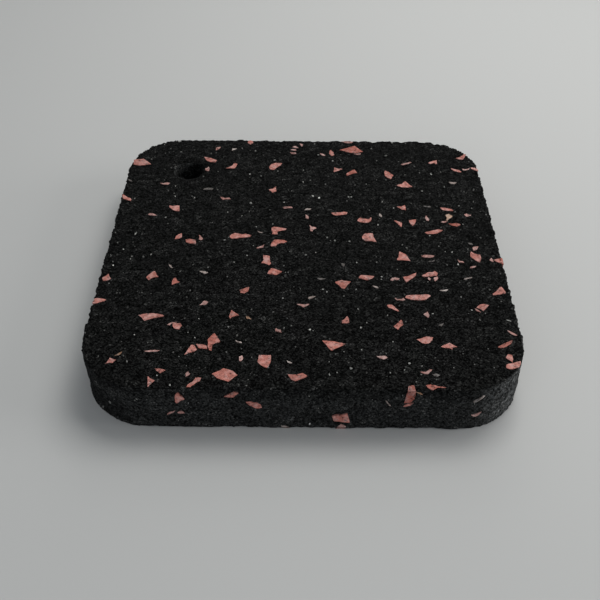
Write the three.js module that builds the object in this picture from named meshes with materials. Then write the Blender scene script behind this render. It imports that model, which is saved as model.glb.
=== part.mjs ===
// Rubber gym floor tile in its hand-sample size: one square slab of bonded rubber crumb with
// rounded corners, a round hole near one corner to hang it by, and edges that are a little worn.
// Units are millimetres. +Z is up, +X right, +Y to the back, and the origin is the middle of the
// underside. The hole is near the back left corner.

import * as THREE from "three";

// Driving dimensions
const tileWidth = 100; // along X
const tileDepth = 100; // along Y
const tileThickness = 12.7;
const cornerRadius = 15;
const holeDiameter = 8;
const holeFromLeftEdge = 17; // to the hole's centre
const holeFromBackEdge = 16; // to the hole's centre
const wornEdge = 0.4; // how far the crumb has worn back where two faces meet

// How many straight lengths stand for a quarter of a circle
const segmentsPerQuarterTurn = 14;

const quarterTurn = Math.PI / 2;

// Adds a quarter of a circle to a path, turning anticlockwise from startAngle.
function addQuarterArc(path, centreX, centreY, radius, startAngle) {
  path.absarc(centreX, centreY, radius, startAngle, startAngle + quarterTurn, false);
}

// The slab's outline: a rectangle whose four corners are quarter circles.
function slabOutline() {
  const outline = new THREE.Shape();
  const arcCentreX = tileWidth / 2 - cornerRadius;
  const arcCentreY = tileDepth / 2 - cornerRadius;
  addQuarterArc(outline, arcCentreX, arcCentreY, cornerRadius, 0);
  addQuarterArc(outline, -arcCentreX, arcCentreY, cornerRadius, quarterTurn);
  addQuarterArc(outline, -arcCentreX, -arcCentreY, cornerRadius, 2 * quarterTurn);
  addQuarterArc(outline, arcCentreX, -arcCentreY, cornerRadius, 3 * quarterTurn);
  outline.closePath();
  return outline;
}

// The hanging hole, which goes right through near the back left corner.
function hangingHole() {
  const hole = new THREE.Path();
  const centreX = holeFromLeftEdge - tileWidth / 2;
  const centreY = tileDepth / 2 - holeFromBackEdge;
  for (let quarter = 0; quarter < 4; quarter += 1) {
    addQuarterArc(hole, centreX, centreY, holeDiameter / 2, quarter * quarterTurn);
  }
  hole.closePath();
  return hole;
}

// The slab, with both faces' edges and the hole's two rims worn back by the same amount.
function slabGeometry() {
  const outline = slabOutline();
  outline.holes.push(hangingHole());
  const geometry = new THREE.ExtrudeGeometry(outline, {
    depth: tileThickness - 2 * wornEdge,
    curveSegments: segmentsPerQuarterTurn / 2, // an arc is divided into twice this number
    bevelEnabled: true,
    bevelSegments: 1,
    bevelThickness: wornEdge,
    bevelSize: wornEdge,
    bevelOffset: -wornEdge, // the slab keeps its full width and depth halfway up
  });
  geometry.translate(0, 0, wornEdge); // stands the underside on Z = 0
  return geometry;
}

const crumbRubber = new THREE.MeshStandardMaterial({
  color: 0x161617,
  roughness: 0.88,
  metalness: 0,
});

const tile = new THREE.Mesh(slabGeometry(), crumbRubber);
tile.name = "tile";

const part = new THREE.Group();
part.add(tile);

export default part;
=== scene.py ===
"""The looks of a rubber gym floor tile: a slab of bonded black crumb with terracotta flecks.

Shapes are worked out in millimetres and brought to metres when a piece is finished. +X is right,
+Y is back and +Z is up, and the underside lies on Z = 0.
"""

import math
import random

import bmesh
import bpy
from bpy.props import FloatProperty, FloatVectorProperty, IntProperty, PointerProperty
from mathutils import Matrix, Vector, noise


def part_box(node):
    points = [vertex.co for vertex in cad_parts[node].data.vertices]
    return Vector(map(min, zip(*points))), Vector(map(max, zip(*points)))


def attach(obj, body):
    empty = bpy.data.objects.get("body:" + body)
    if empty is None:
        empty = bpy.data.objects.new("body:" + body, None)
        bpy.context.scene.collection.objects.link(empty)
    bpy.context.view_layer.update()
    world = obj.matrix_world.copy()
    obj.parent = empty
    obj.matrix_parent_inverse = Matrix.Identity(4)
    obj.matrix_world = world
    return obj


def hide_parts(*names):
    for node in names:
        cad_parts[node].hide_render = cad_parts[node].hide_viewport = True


bl_info = {
    "name": "Rubber Gym Floor Tile",
    "version": (1, 0, 0),
    "blender": (4, 5, 0),
    "location": "View3D > Sidebar > Gym Tile",
    "description": "Builds a crumb rubber floor tile with flecks, grit and a photo stage",
    "category": "Add Mesh",
}

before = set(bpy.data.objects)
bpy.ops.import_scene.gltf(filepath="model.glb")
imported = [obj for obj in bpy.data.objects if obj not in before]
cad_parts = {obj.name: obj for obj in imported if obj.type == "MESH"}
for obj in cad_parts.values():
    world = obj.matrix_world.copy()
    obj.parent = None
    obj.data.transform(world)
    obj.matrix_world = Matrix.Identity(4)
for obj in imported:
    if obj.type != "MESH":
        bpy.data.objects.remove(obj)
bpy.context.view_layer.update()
TILE_LOW, TILE_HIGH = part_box("tile")

MM = 0.001  # metres in a millimetre
HALF_WIDTH = (TILE_HIGH.x - TILE_LOW.x) / 2 / MM
HALF_DEPTH = (TILE_HIGH.y - TILE_LOW.y) / 2 / MM
THICKNESS = TILE_HIGH.z / MM

# How black granules lie: they are longer along X, and neighbouring ones aren't alike
GRANULE_STRETCH = 1.35
LOT_SPREAD = 7.3
SEAM_WIDTH = 0.34  # as a share of a granule

# Seeds of the random draws
FLECK_SEED = 41
GRIT_SEED = 7

# Flecks on the top face. Each outline lists the x and y of its corners in turn, in millimetres.
TOP_TERRACOTTA = (
    (-49.6, 38.9, -46.8, 39.6, -45.8, 38.6, -44.2, 36.6, -47.3, 35.7, -49.6, 36.4),
    (-29.3, 40.7, -27.1, 40.1, -25.2, 38.9, -25.7, 38.0, -27.3, 37.9, -28.4, 38.6),
    (-17.0, 49.1, -16.4, 49.8, -15.3, 49.6, -15.2, 48.7, -16.1, 47.8, -17.0, 48.6),
    (-20.2, 37.6, -19.4, 37.0, -19.5, 35.7, -20.0, 34.6, -22.4, 34.8, -21.8, 35.4, -20.9, 36.0),
    (-9.6, 37.1, -8.2, 37.9, -6.4, 37.6, -6.6, 36.5, -7.7, 35.4, -8.6, 34.0, -9.6, 34.4, -10.3, 35.4),
    (-9.9, 24.3, -9.3, 24.6, -8.5, 24.9, -7.9, 25.7, -7.6, 24.3, -7.7, 23.4, -8.6, 22.9, -9.3, 23.6),
    (7.9, 44.8, 8.6, 44.0, 9.0, 42.3, 8.0, 41.9, 7.3, 42.9, 7.4, 44.3),
    (10.4, 45.0, 12.9, 46.4, 15.2, 47.6, 16.4, 45.9, 17.5, 44.1, 15.9, 43.4, 13.4, 43.4, 11.8, 44.3),
    (8.7, 35.7, 9.7, 35.1, 10.9, 34.8, 10.0, 34.0, 8.7, 33.4),
    (14.4, 34.6, 15.1, 33.7, 15.4, 33.0, 14.1, 32.6, 12.3, 31.6, 11.9, 32.3, 12.9, 33.3),
    (22.9, 33.3, 23.3, 34.1, 24.6, 33.2, 25.7, 31.8, 25.3, 31.1, 24.6, 30.0, 23.9, 30.3, 23.0, 31.5),
    (36.2, 38.6, 37.6, 39.6, 38.6, 39.8, 38.7, 38.0, 38.3, 37.8, 38.0, 38.6, 36.8, 37.9),
    (44.6, 41.2, 45.9, 41.8, 47.2, 43.4, 47.7, 43.2, 47.3, 41.8, 46.6, 40.4, 45.4, 40.4),
    (42.5, 35.7, 43.4, 35.3, 44.7, 34.8, 45.1, 33.9, 44.4, 33.7, 43.2, 34.3, 42.6, 34.8),
    (48.3, 36.1, 49.4, 36.1, 50.0, 35.5, 50.0, 34.7, 49.1, 34.8, 48.4, 35.4),
    (28.7, 29.1, 29.7, 27.3, 30.4, 26.2, 29.3, 25.7, 27.1, 25.9, 26.1, 26.8, 27.6, 27.6),
    (-50.0, 21.3, -49.4, 20.9, -48.4, 19.9, -47.3, 19.3, -47.4, 18.4, -48.7, 18.9, -49.6, 19.3, -50.0, 19.9),
    (-36.5, 16.3, -35.7, 16.1, -34.8, 16.4, -33.7, 16.4, -33.6, 13.9, -34.7, 13.9, -35.9, 14.8, -36.6, 15.6),
    (-33.3, 2.9, -32.7, 3.6, -31.9, 3.9, -31.6, 2.4, -32.3, 1.8, -33.3, 1.7),
    (-30.5, 1.3, -29.8, 1.8, -29.0, 1.6, -28.0, 1.4, -27.8, -0.4, -29.3, -0.2, -30.5, 0.4),
    (-19.1, 3.8, -18.1, 4.5, -17.1, 4.2, -15.7, 3.8, -14.9, 4.1, -13.5, 3.4, -13.6, 2.8, -15.2, 2.5,
     -16.8, 2.4, -17.9, 2.0, -18.9, 1.8, -19.3, 2.9),
    (-8.6, 6.8, -7.8, 7.3, -6.6, 7.1, -5.6, 6.8, -4.5, 6.3, -4.6, 5.9, -5.7, 5.6, -6.8, 5.2,
     -6.8, 3.8, -8.2, 3.9, -8.2, 4.9, -8.6, 5.3),
    (-7.7, 1.7, -6.3, 1.8, -4.8, 1.6, -4.3, 0.9, -4.9, 0.3, -6.1, 0.3, -6.8, -0.3, -7.5, -1.2,
     -8.4, -0.9, -8.4, 0.4),
    (7.5, 13.6, 8.4, 13.8, 10.0, 13.8, 10.9, 14.2, 11.8, 13.8, 11.6, 12.9, 10.1, 12.7, 8.4, 12.3, 7.8, 12.7),
    (14.4, 11.0, 15.1, 11.7, 15.7, 11.1, 17.3, 10.9, 18.0, 11.7, 18.2, 10.4, 17.3, 9.3, 15.7, 9.3,
     14.8, 9.5, 14.4, 10.2),
    (24.1, 10.2, 24.6, 10.4, 25.3, 9.9, 26.2, 9.6, 26.2, 8.8, 25.8, 7.5, 25.4, 8.2, 24.8, 9.1),
    (15.0, 3.1, 16.1, 4.5, 17.2, 5.0, 18.2, 4.8, 18.4, 2.9, 18.9, 1.1, 18.2, 1.0, 17.2, 1.4,
     15.9, 1.6, 15.1, 2.1),
    (25.4, 16.6, 26.5, 16.8, 27.6, 17.5, 27.8, 16.3, 27.5, 15.2, 26.6, 15.3, 25.8, 16.0),
    (37.2, 16.3, 37.9, 16.4, 40.1, 15.7, 40.4, 15.2, 39.7, 14.8, 38.4, 15.0, 37.5, 15.3),
    (27.9, 10.6, 30.0, 10.8, 29.8, 9.6, 29.3, 8.4, 28.9, 8.4, 28.2, 9.3),
    (38.6, 9.3, 39.6, 9.2, 40.8, 9.6, 41.5, 8.9, 40.7, 7.8, 39.6, 8.2, 38.7, 8.8),
    (31.8, 5.3, 33.2, 5.9, 34.6, 6.4, 35.7, 6.7, 36.6, 6.3, 35.9, 5.6, 35.1, 4.9, 33.7, 4.6, 32.3, 4.5),
    (-48.2, -12.6, -47.8, -13.2, -47.1, -14.3, -47.9, -15.0, -48.9, -15.0, -49.5, -14.1, -48.7, -13.3),
    (-36.9, -11.4, -36.4, -11.8, -36.2, -12.6, -35.5, -13.4, -36.6, -13.7, -37.3, -14.1, -37.9, -14.6,
     -38.8, -13.7, -38.2, -12.6, -37.6, -11.8),
    (-31.9, -13.9, -31.4, -13.9, -30.9, -14.8, -30.1, -15.4, -31.1, -15.9, -32.0, -16.2, -32.2, -15.1),
    (-50.0, -21.6, -48.9, -21.4, -47.9, -21.6, -47.1, -22.1, -47.3, -22.6, -48.4, -23.0, -49.0, -23.4,
     -50.0, -23.3),
    (-10.2, -4.7, -9.8, -4.6, -8.5, -4.8, -8.4, -6.2, -8.0, -8.0, -8.6, -8.6, -9.9, -8.0, -10.7, -8.0,
     -10.4, -7.3, -10.1, -6.5),
    (-8.2, -9.7, -6.8, -10.1, -5.4, -11.1, -6.3, -12.3, -6.8, -12.5, -8.8, -11.9, -8.8, -10.9, -8.4, -10.4),
    (-15.6, -18.2, -14.3, -17.5, -13.8, -17.1, -13.2, -17.1, -13.2, -18.4, -13.8, -19.0, -14.1, -19.4,
     -15.0, -19.1, -15.3, -18.6),
    (-17.0, -25.4, -16.3, -25.8, -14.9, -27.1, -16.3, -27.6, -17.1, -28.1, -17.4, -27.6, -17.2, -26.5),
    (13.7, -12.6, 14.1, -12.1, 15.4, -12.2, 16.2, -12.3, 17.4, -12.6, 17.2, -13.3, 16.2, -14.0, 15.4, -14.1,
     14.3, -13.6, 13.7, -13.2),
    (7.8, -14.8, 8.7, -14.3, 9.4, -14.0, 10.1, -14.3, 11.5, -14.6, 10.9, -15.9, 10.1, -17.5, 9.4, -17.5,
     8.6, -16.2),
    (20.0, -23.2, 20.5, -22.8, 21.2, -23.0, 22.1, -24.3, 22.6, -25.2, 21.9, -25.0, 20.9, -24.3, 20.1, -23.9),
    (24.6, -2.8, 25.1, -3.0, 26.1, -3.9, 27.0, -6.5, 25.7, -6.4, 24.0, -6.4, 23.4, -6.3, 24.0, -5.0),
    (42.9, -2.6, 43.4, -3.2, 44.7, -3.9, 45.0, -3.6, 45.1, -5.4, 44.4, -6.8, 43.9, -6.8, 42.6, -5.2,
     42.2, -4.3, 42.3, -3.2),
    (47.9, -5.9, 48.9, -5.4, 50.4, -5.0, 50.4, -7.4, 49.4, -7.2, 48.4, -6.4),
    (24.4, -12.9, 25.2, -12.6, 26.2, -12.2, 28.0, -11.2, 28.0, -11.9, 27.0, -13.2, 26.2, -13.9, 25.2, -14.7,
     24.7, -14.0),
    (29.3, -12.1, 30.0, -11.6, 30.7, -10.9, 32.3, -10.7, 32.8, -10.2, 33.2, -11.2, 33.2, -12.2, 31.8, -12.5,
     30.0, -12.6, 29.6, -12.6),
    (47.9, -16.1, 48.2, -16.2, 49.1, -18.2, 48.9, -18.7, 47.6, -19.0, 45.7, -19.1, 45.5, -18.9, 46.8, -17.6),
    (24.4, -19.7, 25.7, -19.4, 27.6, -19.3, 29.6, -19.1, 30.4, -19.1, 30.7, -19.7, 30.1, -20.5, 29.3, -21.2,
     27.6, -21.4, 25.9, -21.2, 25.1, -20.9, 24.4, -20.4),
    (41.2, -23.7, 42.0, -22.6, 43.2, -22.3, 44.0, -22.9, 43.4, -24.0, 42.5, -25.0, 42.0, -24.4),
    (-38.6, -27.3, -37.3, -26.8, -35.5, -26.5, -34.6, -26.7, -32.6, -27.1, -32.5, -27.5, -33.2, -27.8,
     -34.8, -28.3, -37.1, -29.4, -37.9, -28.2),
    (-30.1, -30.0, -28.3, -30.0, -27.9, -30.7, -28.6, -31.8, -29.6, -31.8, -30.2, -30.9),
    (-43.4, -43.0, -43.2, -42.1, -42.9, -41.1, -42.2, -41.4, -41.5, -41.9, -41.9, -42.8, -42.6, -42.7),
    (-32.3, -44.3, -31.5, -44.3, -30.2, -44.7, -31.1, -45.8, -31.8, -45.2),
    (-33.7, -46.8, -33.2, -47.1, -31.9, -47.9, -33.0, -49.4, -33.3, -49.7, -33.5, -48.2),
    (-25.3, -36.9, -24.6, -37.1, -23.6, -38.4, -24.3, -39.1, -26.0, -39.9, -26.4, -40.0, -25.9, -38.6),
    (-20.4, -33.2, -19.8, -33.7, -18.6, -35.8, -19.3, -36.2, -20.3, -36.9, -21.4, -36.9, -21.8, -35.2,
     -21.4, -34.6),
    (-21.4, -36.9, -20.4, -36.9, -20.6, -38.6, -21.1, -38.6, -21.4, -37.8),
    (-24.1, -36.7, -22.9, -36.7, -21.6, -37.2, -21.6, -38.1, -23.5, -38.0),
    (-9.8, -40.1, -8.6, -39.8, -7.0, -39.8, -7.0, -42.3, -7.4, -43.4, -7.9, -43.8, -9.3, -43.2,
     -10.2, -42.1, -10.0, -41.2),
    (-19.8, -45.8, -18.2, -44.6, -17.4, -43.9, -15.2, -44.8, -14.2, -46.1, -15.9, -48.3, -17.1, -47.8,
     -18.8, -47.1),
    (-23.2, -46.8, -22.1, -47.1, -22.1, -47.8, -22.8, -48.2, -23.4, -49.0, -24.2, -49.9, -24.9, -49.7,
     -24.9, -49.1, -23.8, -48.2, -23.5, -47.5),
    (-3.2, -45.7, -2.4, -45.8, -1.3, -45.7, 0.0, -45.2, 0.9, -46.1, -0.2, -47.1, -1.6, -47.9, -2.8, -47.2),
    (10.2, -27.2, 10.7, -27.9, 10.8, -29.3, 10.0, -29.6, 9.0, -29.3, 8.9, -28.7, 9.7, -27.9),
    (4.4, -35.1, 5.9, -35.2, 7.3, -35.4, 8.4, -35.8, 9.7, -36.1, 8.4, -37.2, 7.3, -37.9, 6.4, -38.6,
     6.1, -38.3, 5.2, -36.8),
    (22.8, -28.2, 23.3, -28.9, 23.3, -29.8, 22.3, -30.8, 21.9, -31.4, 20.8, -30.4, 21.2, -30.0),
    (25.9, -34.6, 26.8, -34.3, 28.2, -33.5, 29.6, -33.9, 29.6, -34.7, 28.9, -35.7, 27.8, -36.1, 26.8, -35.8,
     26.1, -35.0),
    (31.2, -36.9, 32.2, -36.1, 33.2, -35.5, 34.7, -36.9, 33.7, -37.1, 33.6, -37.9, 32.9, -37.3, 31.5, -37.2),
    (44.0, -36.8, 44.8, -36.2, 45.9, -35.5, 46.8, -35.0, 47.5, -34.7, 47.6, -35.2, 47.0, -35.9, 45.9, -36.8,
     45.1, -37.2, 44.3, -37.2),
    (45.1, -40.1, 45.9, -39.3, 46.8, -39.3, 46.8, -40.7, 46.4, -41.5, 45.8, -40.9),
    (44.8, -42.2, 46.2, -41.8, 48.2, -41.2, 48.4, -41.8, 47.6, -43.2, 46.8, -43.4, 46.2, -43.7, 45.2, -43.7,
     44.8, -43.2),
    (26.6, -48.6, 27.5, -48.3, 29.1, -48.9, 30.8, -49.2, 29.0, -49.3, 27.9, -49.9, 27.0, -49.6),
)
# The fleck that wraps over the front edge: a darker red-brown, darkened further as painted shade where the
# edge's slant catches light
TOP_BRICK_AND_PAINTED_SHADE = (
    (22.4, -50.6, 23.0, -48.9, 23.4, -49.0, 24.2, -50.6),
)
TOP_PINK = (
    (-26.4, 45.9, -24.9, 46.1, -25.0, 45.3, -26.1, 44.4),
    (-27.5, 35.7, -27.0, 34.8, -27.3, 33.2, -28.5, 33.7, -28.6, 34.6, -27.9, 34.8),
    (-40.5, 27.1, -39.6, 26.9, -38.4, 27.5, -37.7, 27.1, -37.9, 26.2, -39.8, 26.2),
    (-3.4, 46.4, -2.7, 47.2, -1.8, 46.0, -2.6, 45.8),
    (-3.9, 45.0, -2.6, 45.4, -2.4, 44.7, -3.7, 44.6),
    (-4.1, 43.6, -3.2, 43.5, -2.3, 43.5, -2.4, 42.9, -3.9, 42.7),
    (-1.4, 48.3, -0.2, 48.0, -0.7, 46.9),
    (4.7, 42.9, 5.5, 43.0, 6.2, 41.9, 5.4, 41.8),
    (14.6, 43.1, 16.7, 43.2, 16.5, 42.4, 15.3, 42.6),
    (10.9, 49.8, 12.9, 49.9, 14.9, 49.6, 14.1, 48.7, 12.3, 48.9),
    (28.0, 37.5, 29.1, 38.2, 30.1, 38.4, 31.2, 39.1, 31.4, 38.7, 30.7, 37.9, 28.2, 37.1),
    (45.4, 35.7, 46.2, 35.1, 47.3, 35.5, 47.9, 36.1, 47.6, 35.1, 46.6, 34.6, 45.7, 34.8),
    (-41.5, 12.9, -40.4, 12.7, -39.4, 11.8, -39.8, 11.6, -41.1, 11.7, -41.8, 12.2),
    (-27.3, 3.4, -26.9, 3.4, -25.9, 1.7, -26.5, 1.3, -27.3, 1.4, -27.1, 2.4),
    (-23.0, 20.6, -22.5, 20.7, -21.8, 19.9, -20.2, 20.3, -20.0, 19.6, -21.8, 19.4, -22.4, 19.1, -22.9, 19.8),
    (-5.7, 16.0, -4.8, 16.3, -3.1, 16.4, -2.9, 15.7, -4.1, 15.6, -4.9, 15.4, -5.6, 15.2),
    (-12.2, -1.9, -11.7, -1.4, -11.1, -1.1, -10.6, -0.9, -10.2, -0.2, -10.0, -0.7, -10.3, -1.6, -11.8, -2.1),
    (0.5, 12.7, 1.1, 12.4, 1.5, 11.6, 1.1, 10.9, 0.4, 11.1),
    (1.4, 8.2, 2.1, 7.5, 3.2, 7.3, 3.7, 6.8, 2.8, 6.1, 2.2, 5.3, 1.6, 5.3, 1.6, 6.8),
    (36.8, 10.2, 37.9, 10.4, 38.2, 10.2, 37.6, 9.5, 36.9, 9.3, 36.6, 9.9),
    (32.9, 12.8, 33.7, 10.9, 33.4, 10.4, 32.6, 10.4, 32.3, 11.7),
    (43.3, 13.4, 43.9, 13.9, 44.1, 13.4, 45.0, 13.1, 44.3, 12.4, 43.6, 12.2),
    (-23.9, -22.1, -23.4, -21.9, -22.7, -22.6, -22.8, -23.4, -24.6, -23.7, -24.2, -22.9),
    (-1.7, -22.9, -0.2, -23.0, 1.5, -22.8, 1.2, -23.4, 0.5, -24.0, 0.1, -24.3, -0.4, -23.9),
    (21.5, -13.2, 22.1, -13.0, 22.6, -12.8, 23.7, -13.4, 23.6, -14.0, 22.9, -14.0, 22.3, -13.7, 21.8, -14.4,
     21.4, -14.0),
    (21.8, -20.5, 22.3, -20.9, 23.7, -20.9, 24.3, -20.4, 24.4, -21.2, 23.6, -21.6, 22.2, -21.5),
    (29.7, -4.4, 30.4, -4.0, 32.3, -4.0, 33.4, -4.3, 33.2, -5.0, 31.8, -5.4, 30.7, -5.2, 29.8, -4.9),
    (43.2, -0.9, 43.7, -0.5, 45.0, -0.5, 44.7, -1.6, 44.1, -2.3, 43.6, -2.1, 43.2, -1.5),
    (39.0, -5.8, 39.4, -6.4, 40.4, -6.5, 40.4, -7.0, 39.6, -6.9, 39.0, -7.0, 38.9, -6.4),
    (41.6, -8.6, 42.3, -8.3, 43.2, -8.3, 42.9, -8.9, 42.0, -9.3, 41.6, -9.1),
    (46.8, -5.8, 47.6, -5.2, 47.9, -5.7, 47.9, -6.5, 47.2, -6.4),
    (30.5, -13.2, 30.9, -12.9, 31.5, -13.3, 31.1, -13.9, 30.7, -13.7),
    (32.0, -12.9, 33.0, -12.6, 33.4, -13.0, 33.0, -13.7, 32.3, -14.3, 31.9, -13.7),
    (40.7, -24.1, 41.2, -24.3, 41.8, -25.4, 40.9, -25.0),
    (-31.4, -30.4, -30.4, -29.5, -29.3, -29.5, -30.4, -30.0, -30.9, -30.8),
    (-35.7, -39.0, -34.3, -38.7, -33.2, -38.6, -31.9, -38.7, -32.1, -39.1, -33.7, -39.2, -35.5, -39.3),
    (-25.7, -45.8, -25.1, -45.3, -24.4, -45.8, -24.8, -46.4, -25.4, -46.6),
    (-6.6, -32.1, -6.1, -31.2, -5.9, -31.6, -5.0, -31.8, -4.9, -32.6, -5.6, -32.5, -6.6, -32.5),
    (-14.3, -40.4, -13.6, -40.2, -13.1, -40.9, -13.4, -41.8, -13.9, -41.9, -14.3, -41.2),
    (16.4, -40.0, 17.3, -39.8, 18.4, -39.8, 18.8, -40.4, 18.0, -41.2, 17.3, -40.8),
    (28.0, -26.1, 28.6, -25.7, 29.3, -25.3, 29.6, -25.8, 29.8, -26.6, 29.3, -27.3, 28.4, -26.8),
    (47.0, -31.4, 47.6, -31.6, 49.1, -33.0, 48.7, -33.3, 47.6, -32.6),
    (25.6, -44.6, 26.8, -44.7, 28.0, -43.7, 28.4, -43.9, 27.9, -44.8, 27.3, -45.5, 26.4, -45.4),
)
TOP_GREY = (
    (-50.0, 29.0, -49.1, 28.7, -48.3, 27.6, -49.3, 27.9),
    (-28.2, 24.6, -26.8, 25.0, -25.1, 24.7, -25.1, 23.9, -28.2, 23.9),
    (32.5, 17.1, 33.6, 17.0, 34.4, 17.2, 34.7, 16.6, 34.3, 16.3, 32.6, 16.7),
    (42.6, 0.9, 43.2, 1.1, 43.7, 0.9, 43.6, 0.3, 42.8, 0.3),
    (3.4, -13.4, 4.0, -13.3, 5.5, -13.6, 5.0, -14.0, 4.0, -14.2),
    (9.4, -7.8, 10.5, -7.8, 10.4, -8.6, 10.0, -9.0, 9.5, -8.6),
    (31.4, -6.5, 32.3, -6.6, 33.2, -5.9, 33.0, -6.6, 32.1, -6.9),
    (31.3, -29.9, 31.9, -29.4, 32.6, -29.1, 32.5, -29.8, 32.0, -30.5, 31.6, -30.0),
    (28.2, -45.3, 29.0, -45.0, 29.9, -45.5, 29.5, -46.2, 28.7, -46.1),
)
TOP_TAN = (
    (38.0, 13.1, 39.0, 13.5, 40.0, 12.8, 39.8, 12.0, 38.9, 11.4, 38.3, 10.4, 37.9, 10.7, 38.3, 11.8),
    (-41.8, -40.4, -41.1, -39.7, -40.6, -39.3, -40.5, -39.8, -41.2, -40.4),
    (-13.2, -27.5, -12.8, -27.3, -12.2, -28.3, -12.7, -28.2, -13.2, -28.2),
)
TOP_WHITISH = (
    (40.9, 28.9, 43.2, 28.7, 42.5, 27.5, 41.4, 27.6),
    (-21.6, 45.5, -20.0, 45.3, -20.4, 44.8, -21.3, 44.2),
    (0.2, 15.3, 0.9, 15.6, 2.1, 15.5, 1.9, 14.9, 0.8, 14.8, 0.2, 14.7),
    (-12.0, 5.4, -11.5, 5.0, -10.6, 4.9, -11.0, 4.4, -11.7, 4.6),
    (20.1, 13.2, 20.5, 13.6, 21.2, 12.1, 20.8, 11.7, 20.1, 12.4),
    (-33.6, -8.7, -33.0, -9.0, -32.5, -10.0, -33.0, -10.1, -33.5, -9.4),
    (-25.9, -11.1, -24.3, -11.1, -23.6, -11.6, -23.8, -12.1, -24.5, -12.3, -25.0, -11.8),
    (16.9, -16.1, 17.5, -16.2, 18.3, -16.6, 18.2, -17.0, 17.5, -16.9, 17.0, -16.5),
    (1.1, -20.5, 1.8, -20.2, 3.0, -20.2, 2.5, -20.8, 1.8, -21.1, 1.2, -21.0),
    (39.4, -13.4, 40.0, -12.9, 40.7, -12.8, 41.8, -12.5, 41.6, -13.0, 40.4, -13.3, 39.8, -13.7),
    (32.9, -17.5, 34.0, -17.5, 34.8, -17.2, 35.2, -17.2, 35.1, -17.8, 34.1, -18.0, 33.0, -17.8),
    (-15.4, -35.2, -14.9, -35.7, -13.8, -35.8, -13.8, -36.2, -14.5, -36.2, -15.3, -35.8),
    (-3.5, -41.5, -3.2, -41.8, -2.4, -42.2, -2.8, -42.5, -3.5, -42.1),
)

# Flecks on the front wall, as x and z in turn.
FRONT_TERRACOTTA = (
    (-27.4, 11.1, -26.9, 11.2, -25.9, 10.2, -25.5, 9.3, -26.3, 9.0, -27.4, 8.2, -27.8, 8.5, -27.7, 10.2),
    (-16.8, 10.4, -16.0, 11.0, -14.8, 11.8, -14.0, 11.4, -14.5, 10.8, -15.0, 10.1, -16.0, 10.1),
    (-12.2, 8.6, -11.6, 8.9, -10.8, 8.5, -9.8, 8.5, -9.0, 7.8, -9.0, 6.9, -9.5, 6.5, -10.4, 6.6,
     -11.2, 7.2, -12.1, 8.0),
    (6.6, 4.0, 8.6, 4.6, 10.0, 5.2, 10.4, 2.0, 6.9, 2.4),
    (22.2, 8.1, 23.4, 8.6, 23.9, 8.7, 23.5, 7.9, 22.4, 7.5, 22.1, 7.7),
)
# The same fleck's part on the front wall, in the same colour with painted shade
FRONT_BRICK_AND_PAINTED_SHADE = (
    (22.5, 13.0, 24.1, 13.0, 24.3, 11.9, 24.2, 10.6, 24.1, 9.8, 23.6, 8.9, 22.8, 8.6, 22.1, 8.8, 22.2, 10.7),
)
FRONT_PINK = (
    (-29.9, 4.5, -29.0, 5.2, -28.0, 5.6, -28.1, 5.2, -29.0, 4.6, -29.8, 4.2),
    (-27.2, 5.4, -26.4, 5.4, -26.1, 4.8, -26.8, 4.6, -27.4, 4.9),
    (8.6, 1.6, 9.7, 0.6, 9.8, -0.3, 7.2, -0.3, 7.8, 0.7),
    (37.2, 4.8, 38.5, 5.0, 39.4, 5.4, 39.1, 4.4, 38.2, 3.9, 37.5, 4.2),
)
FRONT_TAN = (
    (24.3, 12.3, 24.9, 12.2, 25.5, 12.0, 25.7, 11.5, 25.4, 11.4, 25.0, 11.8, 24.6, 12.0),
)
FRONT_WHITISH = (
    (-4.5, 0.6, -4.0, 0.8, -3.0, 0.4, -3.0, 0.0, -4.4, 0.0),
    (18.1, 9.2, 18.5, 8.8, 19.1, 7.9, 18.9, 7.8, 18.4, 8.5),
    (37.2, 9.0, 38.0, 9.5, 38.5, 10.2, 39.1, 10.8, 39.4, 10.5, 39.0, 9.9, 38.4, 9.5, 37.8, 9.0),
)

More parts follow.
